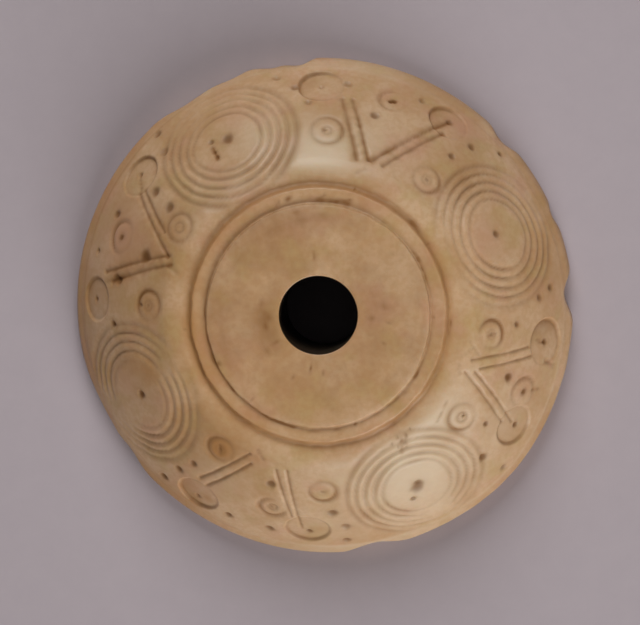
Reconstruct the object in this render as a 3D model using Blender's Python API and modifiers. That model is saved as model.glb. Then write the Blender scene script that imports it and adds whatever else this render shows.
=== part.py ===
# A spindle whorl turned and carved from one piece of bone or ivory.
# It is a dome with a stepped collar round the hole for the spindle, and carved rings and lines.
# It lies on its flat underside, with the hole's axis on Z and the middle of the underside at the origin.
import math

import bmesh
import bpy
from mathutils import Matrix, Vector

MM = 0.001

# Rim and underside
WHORL_DIAMETER = 38.0 * MM
EDGE_ROUNDING = 0.8 * MM  # the lower edge, worn round
EDGE_TO_WIDEST = 0.3 * MM  # from the rounding up to the widest line
RIM_BAND = 1.4 * MM  # from the widest line up to where the dome starts
RIM_LEAN = 0.55 * MM  # how far the top of the rim band stands in from the widest line
OVAL = 0.2 * MM  # added to the radius on the long axis and taken off on the short one
OVAL_DIRECTION = math.radians(138.0)

# Dome and collar, outwards from the hole
BORE_DIAMETER = 5.9 * MM
BORE_CHAMFER = 0.15 * MM
DISC_WIDTH = 5.5 * MM  # flat ring of the top, from the bore to its own edge
STEP_WIDTH = 0.4 * MM  # the narrow step between the disc and the ledge
STEP_DEPTH = 0.5 * MM
LEDGE_WIDTH = 0.8 * MM
LEDGE_DROP = 0.3 * MM  # disc top to ledge top
LIP_ROUNDING = 0.1 * MM  # the worn edges of the disc and the ledge
COVE_WIDTH = 1.4 * MM  # the hollow between the ledge and the dome
COVE_DEPTH = 0.95 * MM  # disc top to the floor of the cove
COVE_FLOOR = 0.3 * MM  # ledge edge to the lowest line of the cove
COVE_SAG = 0.1 * MM  # how hollow the slope from there to the dome is
SHOULDER_DROP = 0.65 * MM  # disc top to the top of the dome
DOME_RISE = 7.65 * MM  # rim band to the top of the dome

# Carving on the dome
ROUNDEL_DISC_RADIUS = 2.75 * MM
ROUNDEL_PITCH = 0.68 * MM
ROUNDEL_GROOVES = 5
ROUNDEL_GROOVE_WIDTH = 0.4 * MM
ROUNDEL_GROOVE_DEPTH = 0.19 * MM
TERMINAL_RADIUS = 1.72 * MM
SMALL_RING_RADIUS = 1.15 * MM
RING_GROOVE_WIDTH = 0.3 * MM
RING_GROOVE_DEPTH = 0.15 * MM
LINE_WIDTH = 0.32 * MM
LINE_DEPTH = 0.2 * MM
DOT_RADIUS = 0.24 * MM
LARGE_DOT_RADIUS = 0.45 * MM
DOT_DEPTH = 0.3 * MM

# Shares that shape the sections
STEP_FLOOR_SHARE = 0.3  # where the step is deepest, of its width
RIM_ROUND_SHARE = 0.25  # of the rim's lean, what is left halfway up the band
WEAR_START_SHARE = 0.5  # where the rim's wear starts, of the way from shoulder to rim
LINE_END_SHARE = 0.55  # width and depth of a line's ends, of its middle
DOT_FLOOR_SHARE = 0.5  # radius of a dot's floor, of its mouth

# How finely the round shapes are divided
TURNED_STEPS = 48
DOME_POINTS = 5
ROUNDEL_SEGMENTS = 20
RING_SEGMENTS = 11
LINE_SEGMENTS = 3
DOT_SEGMENTS = 4
WELD_DISTANCE = 0.002 * MM
SHARP_ANGLE = math.radians(35.0)

# A place on the dome is its angle about the hole, in degrees, and its share of the way down
# the dome, from 0 at the shoulder to 1 at the rim band.
ROUNDELS = ((24.2, 0.46), (118.6, 0.43), (205.3, 0.53), (298.5, 0.49))
WORN_DOTS = ((118.1, 0.45), (298.4, 0.50))
PANELS = (
    {
        "arms": (((55.6, 0.70), (68.2, 0.16)), ((57.0, 0.74), (70.7, 0.15)),
                 ((81.1, 0.65), (72.1, 0.17)), ((83.8, 0.64), (76.1, 0.14))),
        "terminals": ((55.6, 0.81), (89.6, 0.77)),
        "rings": ((70.8, 0.75), (87.4, 0.36), (50.7, 0.24)),
        "dots": ((24.6, 0.44), (41.3, 0.94), (47.4, 0.76), (49.9, 0.55), (64.4, 0.88),
                 (74.0, 0.55), (83.0, 0.81), (93.0, 0.59), (96.5, 0.76), (100.8, 0.90)),
    },
    {
        "arms": (((145.5, 0.65), (154.2, 0.25)), ((147.8, 0.63), (159.3, 0.14)),
                 ((170.3, 0.69), (160.4, 0.15)), ((172.2, 0.70), (162.6, 0.10))),
        "terminals": ((143.5, 0.79), (177.8, 0.80)),
        "rings": ((160.2, 0.64), (148.8, 0.17), (177.4, 0.24)),
        "dots": ((122.7, 0.50), (134.8, 0.75), (143.8, 0.54), (145.0, 0.35), (155.2, 0.78),
                 (162.3, 0.35), (165.9, 0.86), (184.1, 0.60)),
    },
    {
        "arms": (((233.9, 0.61), (243.2, 0.11)), ((236.6, 0.64), (245.0, 0.19)),
                 ((260.8, 0.61), (253.9, 0.18)), ((264.6, 0.72), (257.4, 0.15))),
        "terminals": ((236.4, 0.80), (265.6, 0.75)),
        "rings": ((255.6, 0.55), (233.8, 0.22), (270.4, 0.29)),
        "dots": ((205.5, 0.51), (226.7, 0.91), (228.0, 0.69), (230.0, 0.52), (245.1, 0.84),
                 (253.5, 0.30), (256.1, 0.83), (272.6, 0.53), (276.1, 0.71), (275.5, 0.88)),
    },
    {
        "arms": (((328.6, 0.61), (338.9, 0.09)), ((330.1, 0.68), (340.1, 0.17)),
                 ((348.0, 0.65), (341.2, 0.20)), ((350.4, 0.60), (343.1, 0.12))),
        "terminals": ((329.2, 0.74), (352.4, 0.77)),
        "rings": ((338.4, 0.67), (353.5, 0.24), (324.2, 0.25)),
        "dots": ((295.6, 0.59), (317.7, 0.67), (326.1, 0.47), (341.3, 0.47), (347.0, 0.88),
                 (357.2, 0.46), (4.1, 0.70), (6.2, 0.83)),
    },
)

# Chips and flats of the rim: the angle of the middle, the half width in degrees, and the depth
RIM_WEAR = (
    (3.0, 7.0, 0.60 * MM),
    (22.0, 5.0, 0.22 * MM),
    (44.0, 6.0, 0.34 * MM),
    (100.0, 6.5, 0.40 * MM),
    (121.0, 9.0, 0.48 * MM),
    (208.0, 21.0, 0.37 * MM),
    (280.0, 9.0, 0.48 * MM),
    (298.0, 11.0, 0.25 * MM),
)

# Lengths that follow from the sizes above
RIM_RADIUS = WHORL_DIAMETER / 2
BORE_RADIUS = BORE_DIAMETER / 2
DISC_RADIUS = BORE_RADIUS + DISC_WIDTH
LEDGE_INNER = DISC_RADIUS + STEP_WIDTH
LEDGE_OUTER = LEDGE_INNER + LEDGE_WIDTH
SHOULDER_RADIUS = LEDGE_OUTER + COVE_WIDTH
DOME_EDGE = RIM_RADIUS - RIM_LEAN
WIDEST_HEIGHT = EDGE_ROUNDING + EDGE_TO_WIDEST
RIM_HEIGHT = WIDEST_HEIGHT + RIM_BAND
SHOULDER_HEIGHT = RIM_HEIGHT + DOME_RISE
TOP_HEIGHT = SHOULDER_HEIGHT + SHOULDER_DROP

# The dome is part of a ball that goes through the shoulder and the top of the rim band
BALL_HEIGHT = RIM_HEIGHT + (SHOULDER_RADIUS**2 - DOME_EDGE**2 + DOME_RISE**2) / (2 * DOME_RISE)
BALL_RADIUS = math.hypot(DOME_EDGE, RIM_HEIGHT - BALL_HEIGHT)
BALL_CENTRE = Vector((0.0, 0.0, BALL_HEIGHT))
SHOULDER_SLOPE = math.atan2(SHOULDER_RADIUS, SHOULDER_HEIGHT - BALL_HEIGHT)
EDGE_SLOPE = math.atan2(DOME_EDGE, RIM_HEIGHT - BALL_HEIGHT)


def clear_scene():
    for thing in list(bpy.data.objects):
        bpy.data.objects.remove(thing, do_unlink=True)


def new_collection(name):
    collection = bpy.data.collections.new(name)
    bpy.context.scene.collection.children.link(collection)
    return collection


def bone_material():
    material = bpy.data.materials.new("worn_bone")
    material.use_nodes = True
    shader = material.node_tree.nodes["Principled BSDF"]
    shader.inputs["Base Color"].default_value = (0.50, 0.33, 0.19, 1.0)
    shader.inputs["Roughness"].default_value = 0.42
    shader.inputs["Metallic"].default_value = 0.0
    return material


def dome_profile():
    """The points of the dome from its shoulder to the rim band, on one arc."""
    points = []
    for step in range(DOME_POINTS):
        share = step / (DOME_POINTS - 1)
        slope = SHOULDER_SLOPE + share * (EDGE_SLOPE - SHOULDER_SLOPE)
        points.append((BALL_RADIUS * math.sin(slope), BALL_HEIGHT + BALL_RADIUS * math.cos(slope)))
    return points


def whorl_profile():
    """Half of the turned section, from the top of the bore outwards and down to the underside."""
    ledge_height = TOP_HEIGHT - LEDGE_DROP
    cove_height = TOP_HEIGHT - COVE_DEPTH
    cove_radius = LEDGE_OUTER + COVE_FLOOR
    corner = EDGE_ROUNDING * (1.0 - math.cos(math.pi / 4))
    return [
        (BORE_RADIUS, TOP_HEIGHT - BORE_CHAMFER),
        (BORE_RADIUS + BORE_CHAMFER, TOP_HEIGHT),
        (DISC_RADIUS - LIP_ROUNDING, TOP_HEIGHT),
        (DISC_RADIUS, TOP_HEIGHT - LIP_ROUNDING),
        (DISC_RADIUS + STEP_FLOOR_SHARE * STEP_WIDTH, TOP_HEIGHT - STEP_DEPTH),
        (LEDGE_INNER, ledge_height - LIP_ROUNDING),
        (LEDGE_OUTER - LIP_ROUNDING, ledge_height),
        (LEDGE_OUTER, ledge_height - LIP_ROUNDING),
        (cove_radius, cove_height),
        ((cove_radius + SHOULDER_RADIUS) / 2, (cove_height + SHOULDER_HEIGHT) / 2 - COVE_SAG),
        *dome_profile(),
        (RIM_RADIUS - RIM_ROUND_SHARE * RIM_LEAN, (RIM_HEIGHT + WIDEST_HEIGHT) / 2),
        (RIM_RADIUS, WIDEST_HEIGHT),
        (RIM_RADIUS - corner, corner),
        (RIM_RADIUS - EDGE_ROUNDING, 0.0),
        (BORE_RADIUS + BORE_CHAMFER, 0.0),
        (BORE_RADIUS, BORE_CHAMFER),
    ]


def turn(name, profile):
    """The closed profile turned round the Z axis, as a mesh object of its own."""
    line = bpy.data.meshes.new(name + "_profile")
    shape = bmesh.new()
    corners = [shape.verts.new((radius, 0.0, height)) for radius, height in profile]
    for first, second in zip(corners, corners[1:] + corners[:1]):
        shape.edges.new((first, second))
    shape.to_mesh(line)
    shape.free()
    lathe = bpy.data.objects.new(name + "_lathe", line)
    bpy.context.scene.collection.objects.link(lathe)
    screw = lathe.modifiers.new("Screw", "SCREW")
    screw.axis = "Z"
    screw.steps = TURNED_STEPS
    screw.render_steps = TURNED_STEPS
    screw.use_merge_vertices = True
    screw.merge_threshold = WELD_DISTANCE
    bpy.context.view_layer.update()
    evaluated = lathe.evaluated_get(bpy.context.evaluated_depsgraph_get())
    body = bpy.data.objects.new(name, bpy.data.meshes.new_from_object(evaluated))
    bpy.data.objects.remove(lathe, do_unlink=True)
    return body


def oval_stretch():
    """What makes the round shape oval: longer along one direction and narrower across it."""
    longer = OVAL / RIM_RADIUS
    turned = Matrix.Rotation(OVAL_DIRECTION, 4, "Z")
    return turned @ Matrix.Diagonal((1.0 + longer, 1.0 - longer, 1.0, 1.0)) @ turned.inverted()


def rim_loss(angle):
    """How deep the chips and flats of the rim are at an angle."""
    loss = 0.0
    for middle, half_width, depth in RIM_WEAR:
        away = (math.degrees(angle) - middle + 180.0) % 360.0 - 180.0
        if abs(away) < half_width:
            loss += depth * math.cos(math.radians(90.0 * away / half_width)) ** 2
    return loss


def wear_rim(body):
    """Moves the worn places of the rim inwards, fading to nothing up the dome."""
    shape = bmesh.new()
    shape.from_mesh(body.data)
    wear_start = SHOULDER_RADIUS + WEAR_START_SHARE * (DOME_EDGE - SHOULDER_RADIUS)
    moved = set()
    for vert in shape.verts:
        radius = math.hypot(vert.co.x, vert.co.y)
        share = min(max((radius - wear_start) / (DOME_EDGE - wear_start), 0.0), 1.0) ** 2
        loss = share * rim_loss(math.atan2(vert.co.y, vert.co.x))
        if loss > 0.0:
            vert.co.xy *= 1.0 - loss / radius
            moved.update(vert.link_faces)
    bmesh.ops.triangulate(shape, faces=list(moved))
    shape.to_mesh(body.data)
    shape.free()


def out_of_dome(place):
    """The direction from the ball's centre to a place on the dome."""
    degrees, share = place
    angle = math.radians(degrees)
    slope = SHOULDER_SLOPE + share * (EDGE_SLOPE - SHOULDER_SLOPE)
    side = math.sin(slope)
    return Vector((side * math.cos(angle), side * math.sin(angle), math.cos(slope)))


def standing_on_dome(place, depth):
    """A frame whose Z points out of the dome, with its origin a depth below the surface."""
    outwards = out_of_dome(place)
    turned = Vector((0.0, 0.0, 1.0)).rotation_difference(outwards).to_matrix().to_4x4()
    return Matrix.Translation(BALL_CENTRE + (BALL_RADIUS - depth) * outwards) @ turned


def add_cutter(name, mesh, cutters):
    """Puts a cutter among the others, following the oval as the dome does."""
    mesh.transform(oval_stretch())
    cutter = bpy.data.objects.new(name, mesh)
    cutter.hide_render = True
    cutter.display_type = "WIRE"
    cutters.objects.link(cutter)


def ring_cutter(name, place, radius, width, depth, segments, cutters):
    """A round groove: a ring of four-sided section whose middle lies in the surface."""
    bpy.ops.mesh.primitive_torus_add(major_segments=segments, minor_segments=4,
                                     major_radius=radius, minor_radius=width / 2)
    ring = bpy.context.object
    mesh = ring.data
    sunk = BALL_RADIUS - math.sqrt(BALL_RADIUS**2 - radius**2)
    mesh.transform(Matrix.Diagonal((1.0, 1.0, 2 * depth / width, 1.0)))
    mesh.transform(standing_on_dome(place, sunk))
    bpy.data.objects.remove(ring, do_unlink=True)
    add_cutter(name, mesh, cutters)


def line_cutter(name, ends, cutters):
    """An incised line from one place to another, a four-sided bar bent along the dome."""
    start, end = (out_of_dome(place) for place in ends)
    shape = bmesh.new()
    bmesh.ops.create_cone(shape, cap_ends=True, segments=4, radius1=1.0, radius2=1.0, depth=1.0)
    lengthwise = [edge for edge in shape.edges if abs(edge.verts[0].co.z - edge.verts[1].co.z) > 0.5]
    bmesh.ops.subdivide_edges(shape, edges=lengthwise, cuts=LINE_SEGMENTS - 1)
    along = (end - start).normalized()
    for vert in shape.verts:
        share = vert.co.z + 0.5
        outwards = start.slerp(end, share).normalized()
        sideways = outwards.cross(along).normalized()
        narrow = LINE_END_SHARE + (1.0 - LINE_END_SHARE) * 4.0 * share * (1.0 - share)
        across = vert.co.x * narrow * LINE_WIDTH / 2
        height = vert.co.y * narrow * LINE_DEPTH
        vert.co = BALL_CENTRE + (BALL_RADIUS + height) * outwards + across * sideways
    mesh = bpy.data.meshes.new(name)
    shape.to_mesh(mesh)
    shape.free()
    add_cutter(name, mesh, cutters)


def dot_cutter(name, place, radius, cutters):
    """A small drilled pit, cut by a cone that reaches half its depth again above the surface."""
    floor_radius = DOT_FLOOR_SHARE * radius
    height = 1.5 * DOT_DEPTH
    top_radius = floor_radius + (radius - floor_radius) * height / DOT_DEPTH
    shape = bmesh.new()
    bmesh.ops.create_cone(shape, cap_ends=True, segments=DOT_SEGMENTS, radius1=floor_radius,
                          radius2=top_radius, depth=height)
    bmesh.ops.translate(shape, verts=shape.verts, vec=(0.0, 0.0, height / 2))
    bmesh.ops.transform(shape, matrix=standing_on_dome(place, DOT_DEPTH), verts=shape.verts)
    mesh = bpy.data.meshes.new(name)
    shape.to_mesh(mesh)
    shape.free()
    add_cutter(name, mesh, cutters)


def carve_roundels(cutters):
    for number, place in enumerate(ROUNDELS, 1):
        for groove in range(ROUNDEL_GROOVES):
            radius = ROUNDEL_DISC_RADIUS + groove * ROUNDEL_PITCH
            ring_cutter(f"roundel_{number}_groove_{groove + 1}", place, radius, ROUNDEL_GROOVE_WIDTH,
                        ROUNDEL_GROOVE_DEPTH, ROUNDEL_SEGMENTS, cutters)
    for number, place in enumerate(WORN_DOTS, 1):
        dot_cutter(f"worn_dot_{number}", place, LARGE_DOT_RADIUS, cutters)


def carve_panel(number, panel, cutters):
    for index, ends in enumerate(panel["arms"], 1):
        line_cutter(f"panel_{number}_line_{index}", ends, cutters)
    for index, place in enumerate(panel["terminals"], 1):
        ring_cutter(f"panel_{number}_terminal_{index}", place, TERMINAL_RADIUS, RING_GROOVE_WIDTH,
                    RING_GROOVE_DEPTH, RING_SEGMENTS, cutters)
        dot_cutter(f"panel_{number}_terminal_dot_{index}", place, DOT_RADIUS, cutters)
    for index, place in enumerate(panel["rings"], 1):
        ring_cutter(f"panel_{number}_ring_{index}", place, SMALL_RING_RADIUS, RING_GROOVE_WIDTH,
                    RING_GROOVE_DEPTH, RING_SEGMENTS, cutters)
        dot_cutter(f"panel_{number}_ring_dot_{index}", place, DOT_RADIUS, cutters)
    for index, place in enumerate(panel["dots"], 1):
        dot_cutter(f"panel_{number}_dot_{index}", place, DOT_RADIUS, cutters)


def make_whorl(whorl_collection, cutters):
    whorl = turn("spindle_whorl", whorl_profile())
    whorl.data.transform(oval_stretch())
    wear_rim(whorl)
    whorl.data.materials.append(bone_material())
    whorl_collection.objects.link(whorl)
    carve_roundels(cutters)
    for number, panel in enumerate(PANELS, 1):
        carve_panel(number, panel, cutters)
    carving = whorl.modifiers.new("Carving", "BOOLEAN")
    carving.operation = "DIFFERENCE"
    carving.solver = "EXACT"
    carving.operand_type = "COLLECTION"
    carving.collection = cutters
    whorl.data.shade_smooth()
    whorl.data.set_sharp_from_angle(angle=SHARP_ANGLE)


clear_scene()
make_whorl(new_collection("spindle_whorl_object"), new_collection("carving_cutters"))
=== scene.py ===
import math

import bmesh
import bpy
import numpy as np
from mathutils import Matrix, Vector, noise


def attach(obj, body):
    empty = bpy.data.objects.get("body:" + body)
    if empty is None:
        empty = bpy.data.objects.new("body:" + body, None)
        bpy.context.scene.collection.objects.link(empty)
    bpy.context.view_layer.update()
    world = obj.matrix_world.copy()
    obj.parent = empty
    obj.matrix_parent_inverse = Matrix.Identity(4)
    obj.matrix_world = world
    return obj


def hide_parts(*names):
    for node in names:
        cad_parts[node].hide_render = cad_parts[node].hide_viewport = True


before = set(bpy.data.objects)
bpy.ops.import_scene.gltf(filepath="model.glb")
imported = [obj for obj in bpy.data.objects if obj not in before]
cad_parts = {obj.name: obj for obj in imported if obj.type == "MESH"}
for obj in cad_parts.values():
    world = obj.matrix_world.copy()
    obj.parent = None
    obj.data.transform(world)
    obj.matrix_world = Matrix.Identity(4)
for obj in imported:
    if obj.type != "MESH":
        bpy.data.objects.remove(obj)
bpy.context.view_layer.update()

metre = 0.001
print("frame loaded")


# The turned body

whorl = {
    "rimRadius": 19.05,
    "edgeRounding": 0.8,  # the lower edge, worn round
    "edgeToWidest": 0.3,
    "rimBand": 1.4,  # from the widest line up to where the dome starts
    "rimLean": 0.63,  # how far the top of the rim band stands in
    "oval": 0.2,
    "ovalDirection": 138.0,
    "boreRadius": 2.95,
    "discWidth": 5.5,
    "stepWidth": 0.4,
    "stepDepth": 0.5,
    "stepOpen": 0.72,  # the share of the step's depth that wear and soil leave open
    "ledgeWidth": 0.8,
    "ledgeDrop": 0.3,
    "coveWidth": 1.4,
    "coveDepth": 0.95,
    "coveLift": 0.08,  # how far wear and soil raise the cove's floor
    "coveFloor": 0.3,
    "shoulderDrop": 0.65,
    "domeRise": 7.65,
    "eighthSteps": 68,  # divisions in an eighth of the way round
    "domeSteps": 72,  # divisions down the dome
    "shoulderShare": 0.09,  # how far down the dome the rounding of its shoulder ends
    "longestEdge": 0.34,
    "longestLedgeEdge": 0.17,
    "longestHiddenEdge": 2.2,  # on the underside and in the bore
    "lumps": 0.05,  # how far the surface is out of true
    # how round each corner of the section is, from the foot of the bore out to the widest line
    "roundings": {"foot": 0.15, "bore": 0.12, "disc": 0.08, "step": 0.12, "ledge": 0.09, "cove": 0.2,
                  "shoulder": 0.9, "rimBand": 0.3, "widest": 0.35},
}

# Chips and flats of the rim: middle angle, half width in degrees, depth
rimWear = (
    (3.0, 7.0, 0.68), (22.0, 5.0, 0.30), (43.0, 7.0, 0.58), (96.0, 5.0, 0.50), (102.0, 7.0, 0.44),
    (114.0, 10.0, 0.28), (124.0, 9.0, 0.34), (208.0, 21.0, 0.43), (218.0, 8.0, 0.32), (282.0, 9.0, 0.52),
)
rimSwell = (318.0, 17.0, 0.2)  # where the rim stands out further: middle angle, half width, height

discRadius = whorl["boreRadius"] + whorl["discWidth"]
ledgeInner = discRadius + whorl["stepWidth"]
ledgeOuter = ledgeInner + whorl["ledgeWidth"]
shoulderRadius = ledgeOuter + whorl["coveWidth"]
domeEdge = whorl["rimRadius"] - whorl["rimLean"]
widestHeight = whorl["edgeRounding"] + whorl["edgeToWidest"]
rimHeight = widestHeight + whorl["rimBand"]
shoulderHeight = rimHeight + whorl["domeRise"]
topHeight = shoulderHeight + whorl["shoulderDrop"]
domeRise = whorl["domeRise"]
ballHeight = rimHeight + (shoulderRadius**2 - domeEdge**2 + domeRise**2) / (2 * domeRise)
ballRadius = math.hypot(domeEdge, rimHeight - ballHeight)
ballCentre = np.array((0.0, 0.0, ballHeight))
shoulderSlope = math.atan2(shoulderRadius, shoulderHeight - ballHeight)
edgeSlope = math.atan2(domeEdge, rimHeight - ballHeight)


def collarCorners():
    # from the foot of the bore up over the disc, the ledge and the cove, each with its rounding
    soft = whorl["roundings"]
    stepHeight = topHeight - whorl["stepOpen"] * whorl["stepDepth"]
    ledgeHeight = topHeight - whorl["ledgeDrop"]
    coveHeight = topHeight - whorl["coveDepth"] + whorl["coveLift"]
    return (
        (whorl["boreRadius"], 0.0, soft["foot"]),
        (whorl["boreRadius"], topHeight, soft["bore"]),
        (discRadius - 0.04, topHeight, soft["disc"]),
        (discRadius + 0.08, stepHeight, soft["step"]),
        (ledgeOuter - 0.05, ledgeHeight, soft["ledge"]),
        (ledgeOuter + 0.7 * whorl["coveFloor"], coveHeight, soft["cove"]),
        (shoulderRadius - 0.02, shoulderHeight - 0.01, soft["shoulder"]),
        (*domeTop(), 0.0),
    )


def domeTop():
    # where the dome's curve begins, a little below the rounding of its shoulder
    slope = shoulderSlope + whorl["shoulderShare"] * (edgeSlope - shoulderSlope)
    return ballRadius * math.sin(slope), ballHeight + ballRadius * math.cos(slope)


def rimCorners():
    # from the dome's edge down over the rim to the underside
    soft = whorl["roundings"]
    return (
        (domeEdge + 0.06, rimHeight - 0.22, 0.0),
        (domeEdge + 0.75 * whorl["rimLean"], (rimHeight + widestHeight) / 2, soft["rimBand"]),
        (whorl["rimRadius"], widestHeight, soft["widest"]),
        (whorl["rimRadius"], 0.0, whorl["edgeRounding"]),
    )


def layCorners(bm, corners):
    return [bm.verts.new((radius, 0.0, height)) for radius, height, rounding in corners]


def joinUp(bm, verts):
    for first, second in zip(verts, verts[1:]):
        bm.edges.new((first, second))


def roundCorners(bm, verts, corners):
    for vert, (radius, height, rounding) in zip(verts, corners):
        if rounding > 0.0:
            segments = 2 if rounding < 0.1 else 3 if rounding < 0.5 else 4
            bmesh.ops.bevel(bm, geom=[vert], affect="VERTICES", offset=rounding, segments=segments,
                            profile=0.5, material=-1)


def divideLongEdges(bm):
    for edge in list(bm.edges):
        hidden = all(vert.co.z < 0.01 or vert.co.x < whorl["boreRadius"] + 0.01 for vert in edge.verts)
        ledge = all(discRadius - 0.3 < vert.co.x < shoulderRadius - 0.5 for vert in edge.verts)
        longest = whorl["longestHiddenEdge" if hidden else "longestLedgeEdge" if ledge else "longestEdge"]
        cuts = int(edge.calc_length() / longest)
        if cuts:
            bmesh.ops.subdivide_edges(bm, edges=[edge], cuts=cuts)


def turnWhorl():
    # the section is drawn at +X as a closed line, spun an eighth of the way round, and copied
    bm = bmesh.new()
    collar = layCorners(bm, collarCorners())
    rim = layCorners(bm, rimCorners())
    joinUp(bm, collar)
    arc = bmesh.ops.spin(bm, geom=[collar[-1]], cent=(0.0, 0.0, ballHeight), axis=(0.0, 1.0, 0.0),
                         angle=(1.0 - whorl["shoulderShare"]) * (edgeSlope - shoulderSlope),
                         steps=whorl["domeSteps"])
    domeEnd = [item for item in arc["geom_last"] if isinstance(item, bmesh.types.BMVert)][0]
    joinUp(bm, [domeEnd] + rim + [collar[0]])
    roundCorners(bm, collar + rim, collarCorners() + rimCorners())
    divideLongEdges(bm)
    bmesh.ops.spin(bm, geom=bm.verts[:] + bm.edges[:], cent=(0.0, 0.0, 0.0), axis=(0.0, 0.0, 1.0),
                   angle=math.pi / 4, steps=whorl["eighthSteps"])
    for degrees in (45.0, 90.0, 180.0):
        copied = bmesh.ops.duplicate(bm, geom=bm.verts[:] + bm.edges[:] + bm.faces[:])["geom"]
        bmesh.ops.rotate(bm, verts=[item for item in copied if isinstance(item, bmesh.types.BMVert)],
                         matrix=Matrix.Rotation(math.radians(degrees), 3, "Z"))
    bmesh.ops.remove_doubles(bm, verts=bm.verts[:], dist=0.001)
    bmesh.ops.recalc_face_normals(bm, faces=bm.faces[:])
    print("whorl turned:", len(bm.faces), "faces")
    return bm


# The carving

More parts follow.
